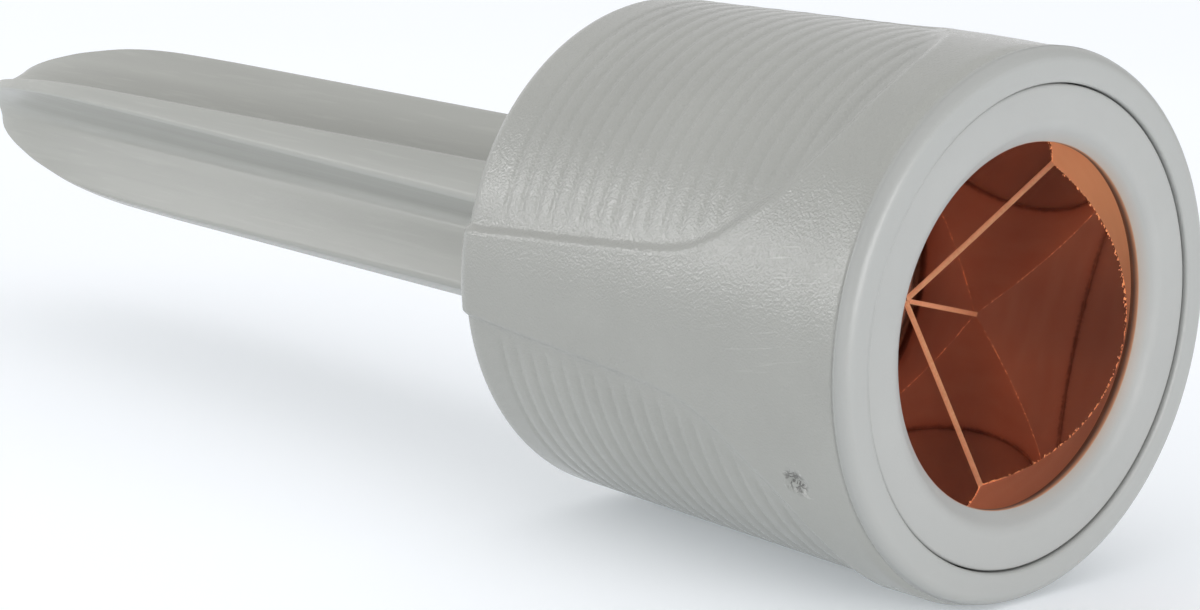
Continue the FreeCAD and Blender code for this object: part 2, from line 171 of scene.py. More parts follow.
# ------------------------------------------------------------------ material helpers
class Nodes:
    """Small wrapper that builds a material's node tree."""

    SOCKETS = {"color": "Base Color", "rough": "Roughness", "metal": "Metallic", "ior": "IOR",
               "spec": "Specular IOR Level", "normal": "Normal", "sheen": "Sheen Weight",
               "sheen_rough": "Sheen Roughness", "sheen_tint": "Sheen Tint",
               "emission": "Emission Color", "glow": "Emission Strength"}

    def __init__(self, name):
        self.mat = bpy.data.materials.new(name)
        self.mat.use_nodes = True
        self.t = self.mat.node_tree
        self.bsdf = self.t.nodes["Principled BSDF"]
        self.out = self.t.nodes["Material Output"]
        self.coord = self.t.nodes.new("ShaderNodeTexCoord").outputs["Object"]

    def link(self, a, b):
        self.t.links.new(a, b)

    def feed(self, socket, value):
        """Links an output to the socket, or sets the socket to a number or an RGB colour."""
        if isinstance(value, (int, float)):
            socket.default_value = value
        elif isinstance(value, tuple):
            socket.default_value = (*value, 1.0)
        else:
            self.link(value, socket)

    def stretched(self, scale):
        """Object coordinates scaled differently along X, Y and Z."""
        n = self.t.nodes.new("ShaderNodeMapping")
        n.inputs["Scale"].default_value = scale
        self.link(self.coord, n.inputs["Vector"])
        return n.outputs["Vector"]

    def noise(self, scale, detail=2.0, rough=0.5, vec=None, dist=0.0):
        n = self.t.nodes.new("ShaderNodeTexNoise")
        n.inputs["Scale"].default_value = scale
        n.inputs["Detail"].default_value = detail
        n.inputs["Roughness"].default_value = rough
        n.inputs["Distortion"].default_value = dist
        self.link(vec or self.coord, n.inputs["Vector"])
        return n.outputs["Fac"]

    def ramp(self, fac, stops):
        n = self.t.nodes.new("ShaderNodeValToRGB")
        el = n.color_ramp.elements
        while len(el) < len(stops):
            el.new(0.5)
        for e, (p, c) in zip(el, stops):
            e.position = p
            e.color = (*c, 1.0)
        self.link(fac, n.inputs["Fac"])
        return n.outputs["Color"]

    def math(self, op, *values):
        n = self.t.nodes.new("ShaderNodeMath")
        n.operation = op
        for socket, v in zip(n.inputs, values):
            self.feed(socket, v)
        return n.outputs[0]

    def plus(self, a, b):
        return self.math("ADD", a, b)

    def minus(self, a, b):
        return self.math("SUBTRACT", a, b)

    def times(self, a, b):
        return self.math("MULTIPLY", a, b)

    def larger(self, a, b):
        return self.math("MAXIMUM", a, b)

    def remap(self, v, a, b, c=0.0, d=1.0):
        """Takes v from the range a..b to the range c..d and holds it there."""
        n = self.t.nodes.new("ShaderNodeMapRange")
        for k, q in zip(("From Min", "From Max", "To Min", "To Max"), (a, b, c, d)):
            n.inputs[k].default_value = q
        self.link(v, n.inputs["Value"])
        return n.outputs["Result"]

    def mix(self, fac, a, b, mode="MIX"):
        n = self.t.nodes.new("ShaderNodeMix")
        n.data_type = "RGBA"
        n.blend_type = mode
        for key, v in (("Factor", fac), ("A", a), ("B", b)):
            self.feed([s for s in n.inputs if s.name == key and s.enabled][0], v)
        return [o for o in n.outputs if o.enabled][0]

    def bump(self, height, dist, strength):
        n = self.t.nodes.new("ShaderNodeBump")
        n.inputs["Strength"].default_value = strength
        n.inputs["Distance"].default_value = dist
        self.link(height, n.inputs["Height"])
        return n.outputs["Normal"]

    def xyz(self, vec=None):
        n = self.t.nodes.new("ShaderNodeSeparateXYZ")
        self.link(vec or self.coord, n.inputs[0])
        return n.outputs

    def axis_distance(self):
        """Distance from the barrel's axis."""
        x, _, z = self.xyz()
        return self.math("SQRT", self.plus(self.times(x, x), self.times(z, z)))

    def ragged(self, v, scale, rough, amount):
        """A length made uneven by noise, by half the amount either way."""
        return self.plus(v, self.times(self.minus(self.noise(scale, 2.0, rough), 0.5), amount))

    def set(self, **values):
        for k, v in values.items():
            self.feed(self.bsdf.inputs[self.SOCKETS[k]], v)


# ------------------------------------------------------------------ materials
def barrel_scratches(n, phi, y):
    """Mask of fine scratches along the barrel, thickest on the collar's left side."""
    comb = n.t.nodes.new("ShaderNodeCombineXYZ")
    n.link(n.plus(n.times(phi, 75.0), n.times(y, 900.0)), comb.inputs[0])
    n.link(n.times(y, 190.0), comb.inputs[1])
    lines = n.remap(n.noise(1.0, 2.0, 0.6, vec=comb.outputs[0]), 0.62, 0.68)
    along = n.times(n.remap(y, behind(1.5), behind(3.5)), n.remap(y, behind(12.5), behind(7.5)))
    around = n.times(n.remap(phi, -0.20, 0.05), n.remap(phi, 0.62, 0.40))
    patch = n.remap(n.noise(260.0, 1.0), 0.42, 0.60, 0.15, 1.0)
    return n.times(n.times(along, around), n.times(patch, lines))


def gate_mark_masks(n):
    """Masks of the gate mark: torn plastic, and the pale crumbs round it."""
    gate = n.t.nodes.new("ShaderNodeVectorMath")
    gate.operation = "DISTANCE"
    n.link(n.coord, gate.inputs[0])
    dx, dz = direction(SCAR_PHI)
    gate.inputs[1].default_value = (RIM_R * dx * MM, behind(SCAR_D), RIM_R * dz * MM)
    away = gate.outputs["Value"]
    tear = n.remap(n.noise(1500.0, 3.0, 0.7, dist=1.2), 0.50, 0.56)
    torn = n.times(n.remap(away, 1.1 * MM, 0.5 * MM), tear)
    crumb = n.times(n.remap(away, 1.9 * MM, 0.8 * MM), n.remap(n.noise(1900.0, 2.0, 0.6), 0.60, 0.66))
    return torn, crumb


def barrel_plastic():
    """Grey moulding: spark-eroded grain, a smoother front face, a torn gate mark, fine scratches."""
    n = Nodes("barrel_plastic")
    x, y, z = n.xyz()
    phi = n.math("ARCTAN2", z, n.times(x, -1.0))
    facing = n.xyz(n.t.nodes.new("ShaderNodeTexCoord").outputs["Normal"])[1]
    smooth = n.larger(n.remap(facing, -0.80, -0.97),
                      n.remap(y, behind(PARTING + 0.25), behind(PARTING - 0.05), 0.0, 0.85))
    fine = n.noise(6000.0, 2.0, 0.5)
    mid = n.noise(2500.0, 1.0, 0.5)
    cloud = n.noise(90.0, 3.0, 0.55)
    speck = n.noise(700.0, 1.0, 0.5)
    scratch = barrel_scratches(n, phi, y)
    torn, crumb = gate_mark_masks(n)
    col = n.ramp(cloud, [(0.30, (0.301, 0.305, 0.284)), (0.70, (0.327, 0.331, 0.309))])
    col = n.mix(n.times(smooth, 0.8), col, (0.345, 0.352, 0.345))
    col = n.mix(n.remap(speck, 0.80, 0.86, 0.0, 0.10), col, (0.18, 0.18, 0.175))
    col = n.mix(n.remap(fine, 0.55, 0.75, 0.0, 0.05), col, (0.42, 0.42, 0.40))
    col = n.mix(n.times(scratch, 0.28), col, (0.52, 0.52, 0.50))
    col = n.mix(n.times(torn, 0.70), col, (0.085, 0.080, 0.075))
    col = n.mix(n.times(crumb, 0.55), col, (0.52, 0.51, 0.49))
    # the grain is weaker on the underside and on the smooth front
    h = n.plus(n.times(fine, 1.0), n.times(mid, 0.25))
    h = n.times(h, n.remap(z, -15.0 * MM, -2.0 * MM, 0.06, 1.0))
    h = n.times(h, n.remap(smooth, 0.0, 1.0, 1.0, 0.12))
    h = n.plus(h, n.times(scratch, 0.15))
    h = n.minus(h, n.times(torn, 1.6))
    rough = n.plus(n.remap(mid, 0.25, 0.75, 0.17, 0.25), n.times(smooth, 0.20))
    n.set(color=col, rough=rough, normal=n.bump(h, 0.052 * MM, 1.0), ior=1.5)
    return n.mat


def bezel_plastic():
    """Smoother, slightly cooler ring with an even, very fine matte skin."""
    n = Nodes("bezel_plastic")
    fine = n.noise(5200.0, 2.0, 0.6)
    cloud = n.noise(140.0, 3.0, 0.5)
    x, y, _ = n.xyz()
    rad = n.axis_distance()
    col = n.ramp(cloud, [(0.3, (0.340, 0.345, 0.336)), (0.7, (0.356, 0.361, 0.351))])
    # painted light: a painted copper reflection on the chamfer's right (the glow mask), and down inside
    # the lip a painted copper reflection at the front that falls to painted shade deeper in
    glow = n.times(n.remap(rad, 12.65 * MM, LIP_R * MM, 0.0, 0.55), n.remap(x, -2.0 * MM, 8.0 * MM))
    col = n.mix(glow, col, (0.33, 0.22, 0.14))
    # painted reflection and painted shade inside the lip: copper-coloured near the front, dark further
    # down
    lip_reflection_and_shade = n.mix(n.remap(y, behind(1.18), behind(0.92)), (0.09, 0.03, 0.015), (0.44, 0.19, 0.09))
    col = n.mix(n.remap(rad, 12.05 * MM, 12.01 * MM, 0.0, 0.9), col, lip_reflection_and_shade)
    rough = n.remap(n.noise(900.0, 2.0), 0.3, 0.7, 0.46, 0.56)
    n.set(color=col, rough=rough, normal=n.bump(fine, 0.010 * MM, 0.6), ior=1.5)
    return n.mat


def stem_plastic():
    """Semi-gloss moulding with faint lengthwise draw marks and a few brighter rubbed streaks."""
    n = Nodes("stem_plastic")
    streak = n.noise(1.0, 2.0, 0.5, vec=n.stretched((2800.0, 55.0, 2800.0)))
    broad = n.noise(1.0, 2.0, 0.5, vec=n.stretched((420.0, 14.0, 420.0)))
    fine = n.noise(4200.0, 1.0, 0.5)
    scuff = n.noise(1.0, 2.0, 0.55, vec=n.stretched((2600.0, 130.0, 2600.0)))
    col = n.ramp(broad, [(0.3, (0.352, 0.356, 0.334)), (0.7, (0.394, 0.398, 0.374))])
    col = n.mix(n.remap(scuff, 0.55, 0.70, 0.0, 0.15), col, (0.50, 0.50, 0.475))
    col = n.mix(n.remap(streak, 0.42, 0.30, 0.0, 0.10), col, (0.30, 0.305, 0.295))
    h = n.plus(n.plus(n.times(streak, 0.06), n.times(broad, 0.5)), n.times(fine, 0.30))
    rough = n.remap(broad, 0.3, 0.75, 0.18, 0.28)
    n.set(color=col, rough=rough, normal=n.bump(h, 0.03 * MM, 0.6), ior=1.5, spec=0.12)
    return n.mat


def clear_glass():
    """Optical glass with an anti-reflection coat outside, full reflection inside, and some dust."""
    n = Nodes("optical_glass")
    nodes = n.t.nodes
    ior = 1.52
    dust = n.noise(2600.0, 1.0, 0.4)
    col = n.ramp(dust, [(0.80, (1.0, 0.995, 0.985)), (0.86, (0.93, 0.90, 0.88))])
    rough = n.remap(dust, 0.82, 0.88, 0.0, 0.3)
    inside = nodes.new("ShaderNodeBsdfGlass")
    entry = nodes.new("ShaderNodeBsdfRefraction")
    for b in (inside, entry):
        b.inputs["IOR"].default_value = ior
        n.link(col, b.inputs["Color"])
        n.link(rough, b.inputs["Roughness"])
    gloss = nodes.new("ShaderNodeBsdfGlossy")
    gloss.inputs["Roughness"].default_value = 0.02
    gloss.inputs["Color"].default_value = (0.55, 0.60, 0.75, 1.0)
    # the coat swallows what bare glass reflects up to a moderate slant, and lets half the rest by
    swallowed = 0.075
    graze = nodes.new("ShaderNodeFresnel")
    graze.inputs["IOR"].default_value = ior
    coat = nodes.new("ShaderNodeMixShader")
    n.link(n.larger(n.times(n.minus(graze.outputs[0], swallowed), 0.5), 0.0), coat.inputs["Fac"])
    n.link(entry.outputs[0], coat.inputs[1])
    n.link(gloss.outputs[0], coat.inputs[2])
    pick = nodes.new("ShaderNodeMixShader")
    n.link(nodes.new("ShaderNodeNewGeometry").outputs["Backfacing"], pick.inputs["Fac"])
    n.link(coat.outputs[0], pick.inputs[1])
    n.link(inside.outputs[0], pick.inputs[2])
    n.link(pick.outputs[0], n.out.inputs["Surface"])
    return n.mat


def copper_mirror():
    """Deposited copper seen through glass: bright, faintly stained, with a fine polishing haze."""
    n = Nodes("copper_mirror")
    stain = n.noise(170.0, 4.0, 0.55)
    fine = n.noise(2400.0, 2.0, 0.5)
    col = n.ramp(stain, [(0.35, (0.975, 0.78, 0.70)), (0.65, (0.99, 0.80, 0.72))])
    col = n.mix(n.remap(fine, 0.70, 0.80, 0.0, 0.5), col, (0.99, 0.84, 0.78))
    # chips along the outer edge: paler, rough chipped copper, with a painted glow (emission) standing for
    # the light they catch
    rad = n.ragged(n.axis_distance(), 4800.0, 0.6, 0.85 * MM)
    chip_and_painted_glow = n.remap(rad, (GLASS_R - 0.015) * MM, (GLASS_R + 0.020) * MM)
    rough = n.larger(n.remap(stain, 0.3, 0.7, 0.015, 0.04), n.times(chip_and_painted_glow, 0.6))
    # the emission on the chips is painted light
    n.set(color=n.mix(chip_and_painted_glow, col, (0.95, 0.50, 0.26)), metal=n.remap(chip_and_painted_glow, 0.0, 1.0, 1.0, 0.1),
          rough=rough, emission=n.mix(chip_and_painted_glow, (0.0, 0.0, 0.0), (0.75, 0.25, 0.09)), glow=1.0)
    return n.mat


def copper_edge():
    """Ground flats on the back edges: the same copper, scattering, with painted light: an emission that
    stands for light reaching them through the glass.
    """
    n = Nodes("copper_ground_edge")
    g = n.noise(5200.0, 3.0, 0.6)
    col = n.ramp(g, [(0.35, (0.62, 0.32, 0.18)), (0.7, (0.70, 0.43, 0.27))])
    n.set(color=col, metal=0.15, rough=0.5, normal=n.bump(g, 0.01 * MM, 0.6),
          # painted light: emission on the ground flats
          emission=n.mix(g, (0.060, 0.020, 0.008), (0.140, 0.048, 0.019)), glow=1.0)
    return n.mat


def gathered_light(n, y, z, front):
    """Light that the glass gathers on its ground wall: most at the upper right, some elsewhere."""
    x = n.xyz()[0]
    upper_right = n.ramp(n.remap(n.plus(x, n.times(z, 1.5)), 8.0 * MM, 24.0 * MM),
                         [(0.0, (0.0, 0.004, 0.007)), (1.0, (0.37, 0.178, 0.084))])
    patches = n.ramp(n.remap(z, -3.0 * MM, 9.0 * MM),
                     [(0.30, (0.026, 0.007, 0.003)), (0.50, (0.0, 0.0, 0.0)),
                      (0.72, (0.0, 0.0, 0.0)), (0.95, (0.024, 0.008, 0.004))])
    mouth = n.ramp(n.remap(y, front + 0.7 * MM, front + 2.2 * MM),
                   [(0.0, (0.020, 0.006, 0.003)), (1.0, (0.0, 0.0, 0.0))])
    return n.mix(1.0, n.mix(1.0, upper_right, patches, "ADD"), mouth, "ADD")


def copper_wall():
    """Ground cylindrical wall under copper: satin, dark with an uneven edge at the front, and glowing
    elsewhere with painted light (emission).
    """
    n = Nodes("copper_ground_wall")
    _, y, z = n.xyz()
    g = n.noise(5200.0, 2.0, 0.5)
    rub = n.noise(1.0, 2.0, 0.5, vec=n.stretched((240.0, 700.0, 240.0)))
    col = n.ramp(rub, [(0.3, (0.92, 0.37, 0.215)), (0.7, (0.97, 0.43, 0.26))])
    front = behind(GLASS_BEHIND)
    lip = n.remap(n.ragged(y, 3600.0, 0.6, 0.6 * MM), front + 0.30 * MM, front + 0.05 * MM, 0.0, 0.65)
    col = n.mix(lip, n.mix(0.58, col, (0.0, 0.0, 0.0)), (0.05, 0.018, 0.012))
    # painted light: the wall's emission, from gathered_light, stands for light the glass gathers; there
    # is none at the dark front edge
    n.set(color=col, metal=0.0, rough=0.6, spec=0.3, normal=n.bump(g, 0.006 * MM, 0.5),
          sheen=1.0, sheen_rough=0.5, sheen_tint=(1.0, 0.36, 0.18),
          emission=n.mix(lip, gathered_light(n, y, z, front), (0.0, 0.0, 0.0)), glow=1.0)
    return n.mat


def coat_back():
    """Outside of the coating: lacquered, brown and slightly blotchy."""
    n = Nodes("coating_lacquer")
    g = n.noise(260.0, 4.0, 0.6)
    col = n.ramp(g, [(0.3, (0.22, 0.075, 0.035)), (0.7, (0.33, 0.12, 0.06))])
    n.set(color=col, metal=0.3, rough=n.remap(g, 0.3, 0.7, 0.35, 0.6), normal=n.bump(g, 0.05 * MM, 0.5))
    return n.mat


def rubber(name, dark):
    """Matte rubber with a paler bloom."""
    n = Nodes(name)
    g = n.noise(1400.0, 3.0, 0.6)
    bloom = n.noise(160.0, 3.0, 0.6)
    col = n.ramp(bloom, [(0.3, dark), (0.75, tuple(2.2 * c for c in dark))])
    n.set(color=col, rough=n.remap(bloom, 0.3, 0.7, 0.6, 0.8), normal=n.bump(g, 0.03 * MM, 0.6))
    return n.mat


def black_plastic():
    """Matte black moulding of the cup."""
    n = Nodes("cup_plastic")
    g = n.noise(2200.0, 3.0, 0.6)
    c = n.noise(120.0, 3.0, 0.6)
    col = n.ramp(c, [(0.3, (0.028, 0.028, 0.030)), (0.7, (0.045, 0.045, 0.047))])
    n.set(color=col, rough=n.remap(c, 0.3, 0.7, 0.42, 0.6), normal=n.bump(g, 0.04 * MM, 0.7))
    return n.mat


def steel(name, stretch):
    """Bare steel, streaked across the axes with the larger stretch."""
    n = Nodes(name)
    s = n.noise(1.0, 3.0, 0.6, vec=n.stretched(stretch))
    c = n.noise(300.0, 3.0, 0.6)
    col = n.ramp(c, [(0.3, (0.52, 0.53, 0.54)), (0.7, (0.66, 0.67, 0.68))])
    n.set(color=col, metal=1.0, rough=n.remap(s, 0.3, 0.7, 0.22, 0.4), normal=n.bump(s, 0.02 * MM, 0.5))
    return n.mat


def floor_white():
    """Pale translucent table top, softly lit from below."""
    n = Nodes("studio_floor")
    g = n.noise(6.0, 3.0, 0.5)
    col = n.ramp(g, [(0.3, (0.785, 0.80, 0.825)), (0.7, (0.805, 0.82, 0.845))])
    n.set(color=col, rough=0.9, spec=0.1, emission=(0.90, 0.96, 1.0), glow=0.23)
    return n.mat


# ------------------------------------------------------------------ the barrel
def signed_grip_distance(rel, d):
    """Distance in mm from a grip's edge, positive inside it; rel is in degrees from its centre."""
    # the edge as close dots: about 29 of them from each of its points to the next
    k = np.arange(len(GRIP_HALF))
    t = np.arange(0.0, len(GRIP_HALF) - 1, 0.03503)
    ds, hs = np.array(GRIP_HALF).T
    edge_x = np.radians(smooth_curve(list(zip(k, hs)), t)) * GRIP_ARC_R
    edge_d = smooth_curve(list(zip(k, ds)), t)
    x, y = np.radians(rel).ravel() * GRIP_ARC_R, d.ravel()
    out = np.empty(len(x))
    chunk = 20000
    for i in range(0, len(x), chunk):
        dx = x[i:i + chunk, None] - edge_x[None]
        dy = y[i:i + chunk, None] - edge_d[None]
        out[i:i + chunk] = np.sqrt((dx * dx + dy * dy).min(axis=1))
    half = np.radians(np.interp(y, ds, hs)) * GRIP_ARC_R
    inside = (y > ds[0]) & (x < half)
    return np.where(inside, out, -out).reshape(rel.shape)


def rib_profile(d):
    """Depth of the rib pattern below the grip floor: wide soft crowns, narrow grooves."""
    p = (d - RIB_FIRST) / RIB_PITCH
    frac = p - np.round(p)
    groove = np.exp(-(np.abs(frac) * RIB_PITCH / 0.26) ** 2)
    crown = 0.30 * (np.abs(frac) * 2.0 - 1.0) ** 2
    on = ((p > -0.5) & (p < RIB_COUNT - 0.5)).astype(float)
    return on * (groove + crown * (1.0 - groove))


def swelled(r, rel, d):
    """The band's radius with the collar's swell in front of each grip blended in."""
    th = np.radians(rel)
    side = STOP_SHIFT * np.sin(th)
    stop = STOP_SHIFT * np.cos(th) + np.sqrt(np.maximum(STOP_R ** 2 - side * side, 0.0))
    blend = 0.05
    soft = np.maximum(r, stop) + blend * np.exp(-np.abs(r - stop) / blend) * 0.5
    return r + (soft - r) * smoothstep((d - PARTING + 0.05) / 0.9)


def gate_mark_depth(phi, d):
    """Depth of the small torn dimple that the moulding's gate leaves."""
    x = np.radians((phi - SCAR_PHI + 180) % 360 - 180) * SCAR_ARC_R
    y = d - SCAR_D
    turn = np.arctan2(y, x)
    wobble = 0.12 * np.sin(3 * turn + 0.7) + 0.07 * np.sin(7 * turn)
    pit = smoothstep((0.95 + wobble - np.sqrt(x * x + y * y)) / 0.25)
    crack = np.exp(-((x + 0.05 * np.sin(9 * y)) / 0.16) ** 2) * (np.abs(y) < 0.6)
    return pit * (0.10 + 0.14 * crack)


def outer_radius(phi, d):
    """Barrel skin radius at azimuth phi and distance d behind the bezel's flat face."""
    rel = np.min([np.abs((phi - c + 180.0) % 360.0 - 180.0) for c in GRIP_CENTRES], axis=0)
    dist = signed_grip_distance(rel, d)
    r = swelled(smooth_curve(BAND, d), rel, d)
    ribs = RIB_DEPTH * rib_profile(d) * smoothstep((dist - 0.35) / 1.5)
    # the step into a grip is steep beside a band and slopes gently round the front arch
    width = 0.48 + 0.40 * smoothstep((13.5 - d) / 4.5)
    low = np.minimum(GRIP_R - GRIP_TAPER * d - ribs, r)
    out = r + (low - r) * smoothstep((dist + 0.24) / width)
    # rolled edge line round each grip
    out = out + 0.02 * np.exp(-((dist + 0.42) / 0.24) ** 2)
    # fine groove behind the moulding's split line, away from the swells
    away = smoothstep((52.0 - np.abs((phi + 12.0 + 180.0) % 360.0 - 180.0)) / 30.0)
    out = out - 0.09 * away * np.exp(-((d - PARTING - 0.12) / 0.09) ** 2)
    return out - gate_mark_depth(phi, d)


def skin_rows():
    """Distances of the outer skin's rows, closest at the split line and in the rib grooves."""
    ds = [PARTING + q for q in (0.02, 0.06, 0.10, 0.14, 0.18, 0.24, 0.36)]
    ds += [1.2, 1.5, 2.0, 2.6, 3.2, 3.8, 4.3, 4.7, 5.0, 5.25]
    steps = (-0.5, -0.4, -0.3, -0.22, -0.16, -0.105, -0.05, 0.0, 0.05, 0.105, 0.16, 0.22, 0.3, 0.4)
    for i in range(RIB_COUNT):
        ds += [RIB_FIRST + (i + s) * RIB_PITCH for s in steps]
    ds += list(np.arange(RIB_FIRST + (RIB_COUNT - 0.5) * RIB_PITCH, BAND_END - 0.05, 0.3))
    return np.array(sorted(ds + [BAND_END]))


def build_barrel(mat):
    cols = 480
    phi = np.arange(cols) * 360.0 / cols
    one = np.ones(cols)
    front, split = -LEN - RIM_PROUD, PARTING - LEN
    roll = 0.15                     # rounding of the mouth's inner edge
    profile = [(CUP_BORE_R, BEZEL_SEAT), (BEZEL_BORE_R, BEZEL_SEAT),
               (BEZEL_BORE_R, front + roll + 0.2), (BEZEL_BORE_R, front + roll),
               (BEZEL_BORE_R + 0.05, front + 0.05), (BEZEL_BORE_R + roll, front),
               (BEZEL_BORE_R + 0.5, front), (16.8, front), (RIM_R - RIM_ROUND - 0.05, front)]
    for a in np.radians(np.linspace(-90, 0, 11))[1:]:
        profile.append((RIM_R - RIM_ROUND + RIM_ROUND * math.cos(a),
                        front + RIM_ROUND + RIM_ROUND * math.sin(a)))
    profile += [(RIM_R, split - 0.10), (RIM_R + 0.035, split - 0.04), (RIM_R + 0.03, split)]
    rows = [(r * one, y * one) for r, y in profile]
    ds = skin_rows()
    skin = outer_radius(*np.meshgrid(phi, ds)) - SKIN_INSET
    rows += [(r, (d - LEN) * one) for r, d in zip(skin, ds)]
    for a in np.radians(np.linspace(0, 90, 12))[1:]:
        rows.append((skin[-1] - REAR_ROUND * (1 - math.cos(a)),
                     (BAND_END - LEN + REAR_ROUND * math.sin(a)) * one))
    for r, y in [(15.0, 0), (12.0, 0), (9.0, 0), (STEM_HOLE_R + 0.1, 0), (STEM_HOLE_R, -0.1),
                 (STEM_HOLE_R, -REAR_WALL), (REAR_BORE_R, -REAR_WALL), (REAR_BORE_R, CUP_SEAT),
                 (CUP_BORE_R, CUP_SEAT)]:
        rows.append((r * one, y * one))
    dx, dz = direction(phi)
    verts = np.concatenate([np.column_stack([r * dx, y, r * dz]) for r, y in rows]) * MM
    ob = mesh_object("barrel", verts, grid_faces(len(rows), cols, wrap_rows=True), [mat], sharp=50.0)
    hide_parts("barrel_shell")
    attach(ob, "root")


# ------------------------------------------------------------------ bezel and gasket
def build_bezel(mat):
    f = -LEN
    deep = 0.815                    # depth of the chamfer at the lip
    prof = [(LIP_R, f + GASKET_DEPTH), (LIP_R, f + 0.90), (LIP_R + 0.02, f + 0.86),
            (LIP_R + 0.08, f + deep)]
    # the chamfer rolls over into the face
    lean = math.atan2(deep, CHAMFER_R - LIP_R - 0.08)
    start = CHAMFER_R + CHAMFER_ROLL * math.tan(lean / 2.0)
    for t in np.linspace(lean, 0.0, 9):
        prof.append((start - CHAMFER_ROLL * math.sin(t), f + CHAMFER_ROLL * (1.0 - math.cos(t))))
    prof += [(14.4, f), (15.0, f), (BEZEL_R - 0.2, f), (BEZEL_R - 0.12, f + 0.012),
             (BEZEL_R - 0.05, f + 0.05), (BEZEL_R - 0.01, f + 0.11), (BEZEL_R, f + 0.2),
             (BEZEL_R, BEZEL_SEAL_FRONT), (BEZEL_SEAL_FLOOR, BEZEL_SEAL_FRONT),
             (BEZEL_SEAL_FLOOR, BEZEL_SEAL_BACK), (BEZEL_R, BEZEL_SEAL_BACK), (BEZEL_R, BEZEL_SEAT),
             (BEZEL_INSIDE_R, BEZEL_SEAT), (BEZEL_INSIDE_R, f + GASKET_DEPTH)]
    ob = lathe("bezel", prof, 256, [mat], sharp=60.0)
    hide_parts("bezel_ring")
    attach(ob, "root")


def build_gasket(mat):
    y0, y1 = -LEN + GASKET_DEPTH + 0.01, -LEN + GLASS_BEHIND - 0.01
    prof = [(GASKET_R, y0), (GASKET_WAIST_R, (y0 + y1) / 2), (GASKET_R, y1), (GLASS_R, y1), (GLASS_R, y0)]
    ob = lathe("glass_gasket", prof, 192, [mat])
    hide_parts("front_gasket")
    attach(ob, "root")


# ------------------------------------------------------------------ the corner cube
def corner_height(rho, phi, bevel):
    """Height of the back surface in front of the apex, with ground flats on its edges."""
    h = np.full(np.broadcast(rho, phi).shape, -1e9)
    for k in range(3):
        m = np.radians(phi - (EDGE_ANGLE + 60.0 + 120.0 * k))
        h = np.maximum(h, math.sqrt(2.0) * rho * np.cos(m))
        e = np.radians(phi - (EDGE_ANGLE + 120.0 * k))
        h = np.maximum(h, rho * np.cos(e) / math.sqrt(2.0) + bevel * math.sqrt(1.5))
    return h


def build_prism(glass, mirror, edge, ground):
    front = -LEN + GLASS_BEHIND
    apex_y = front + APEX_DEPTH
    flat_half = math.degrees(math.asin(EDGE_BEVEL / GLASS_R))
    verts, faces, face_mats = [], [], []
    of_glass, of_mirror, of_edge, of_ground = range(4)

    def point(rho, phi, y):
        dx, dz = direction(phi)
        verts.append((rho * dx * MM, y * MM, rho * dz * MM))
        return len(verts) - 1

    def face(ids, mat_index):
        faces.append(ids)
        face_mats.append(mat_index)

    # the wall's rear line: one run of points for each mirror face, between two flats
    runs, azimuths = [], []
    for k in range(3):
        e0 = EDGE_ANGLE + 120.0 * k
        e1 = e0 + 120.0
        run = [e0 + flat_half, *np.arange(e0 + 1.5, e1 - 0.5, 1.5), e1 - flat_half]
        heights = corner_height(GLASS_R, np.array(run), EDGE_BEVEL)
        runs.append([point(GLASS_R, p, apex_y - h) for p, h in zip(run, heights)])
        azimuths += run
    # the three flats meet on the axis, and each mirror face has its inner corner near it
    tip = point(0.0, 0.0, apex_y - EDGE_BEVEL * math.sqrt(1.5))
    rho = EDGE_BEVEL * math.sqrt(1.5) / (math.sqrt(2.0) - 1.0 / (2.0 * math.sqrt(2.0)))
    inner = [point(rho, EDGE_ANGLE + 60.0 + 120.0 * k, apex_y - math.sqrt(2.0) * rho) for k in range(3)]
    for k in range(3):
        nxt = (k + 1) % 3
        face([inner[k]] + runs[k], of_mirror)
        face([tip, inner[k], runs[k][-1], runs[nxt][0], inner[nxt]], of_edge)
    # the side wall and a small bevel down to the front face
    prev = sum(runs, [])
    for r, depth in ((GLASS_R, FRONT_BEVEL), (GLASS_R - FRONT_BEVEL, 0.0)):
        ring = [point(r, p, front + depth) for p in azimuths]
        for j in range(len(ring)):
            q = (j + 1) % len(ring)
            face([prev[j], prev[q], ring[q], ring[j]], of_ground)
        prev = ring
    face(prev, of_glass)
    ob = mesh_object("corner_cube", verts, faces, [glass, mirror, edge, ground], face_mats, sharp=20.0)
    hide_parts("prism_glass")
    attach(ob, "root")


def build_coating(back):
    """Backing shell just off the glass, so that the mirror has a body of its own."""
    front = -LEN + GLASS_BEHIND
    phi = np.arange(0, 360, 1.5) + EDGE_ANGLE
    dx, dz = direction(phi)
    n = len(phi)

    def skin(off):
        """Rings of one skin, off mm outside the glass, from near the apex to the front."""
        r, apex_y = GLASS_R + off, front + APEX_DEPTH + off * math.sqrt(3.0)
        rings = [(r * k, apex_y - corner_height(r * k, phi, 0.0)) for k in (0.02, 0.35, 0.7, 1.0)]
        rings.append((r, np.full(n, front + COAT_START)))
        return [np.column_stack([rho * dx, y, rho * dz]) for rho, y in rings]

    rings = skin(COAT_INSIDE) + skin(COAT_OUTSIDE)[::-1]
    verts = np.concatenate(rings) * MM
    faces = grid_faces(len(rings), n)
    faces.append(list(range(n))[::-1])
    faces.append(list(range(len(verts) - n, len(verts))))
    ob = mesh_object("mirror_backing", verts, faces, [back], sharp=25.0)
    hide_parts("copper_coating")
    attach(ob, "root")


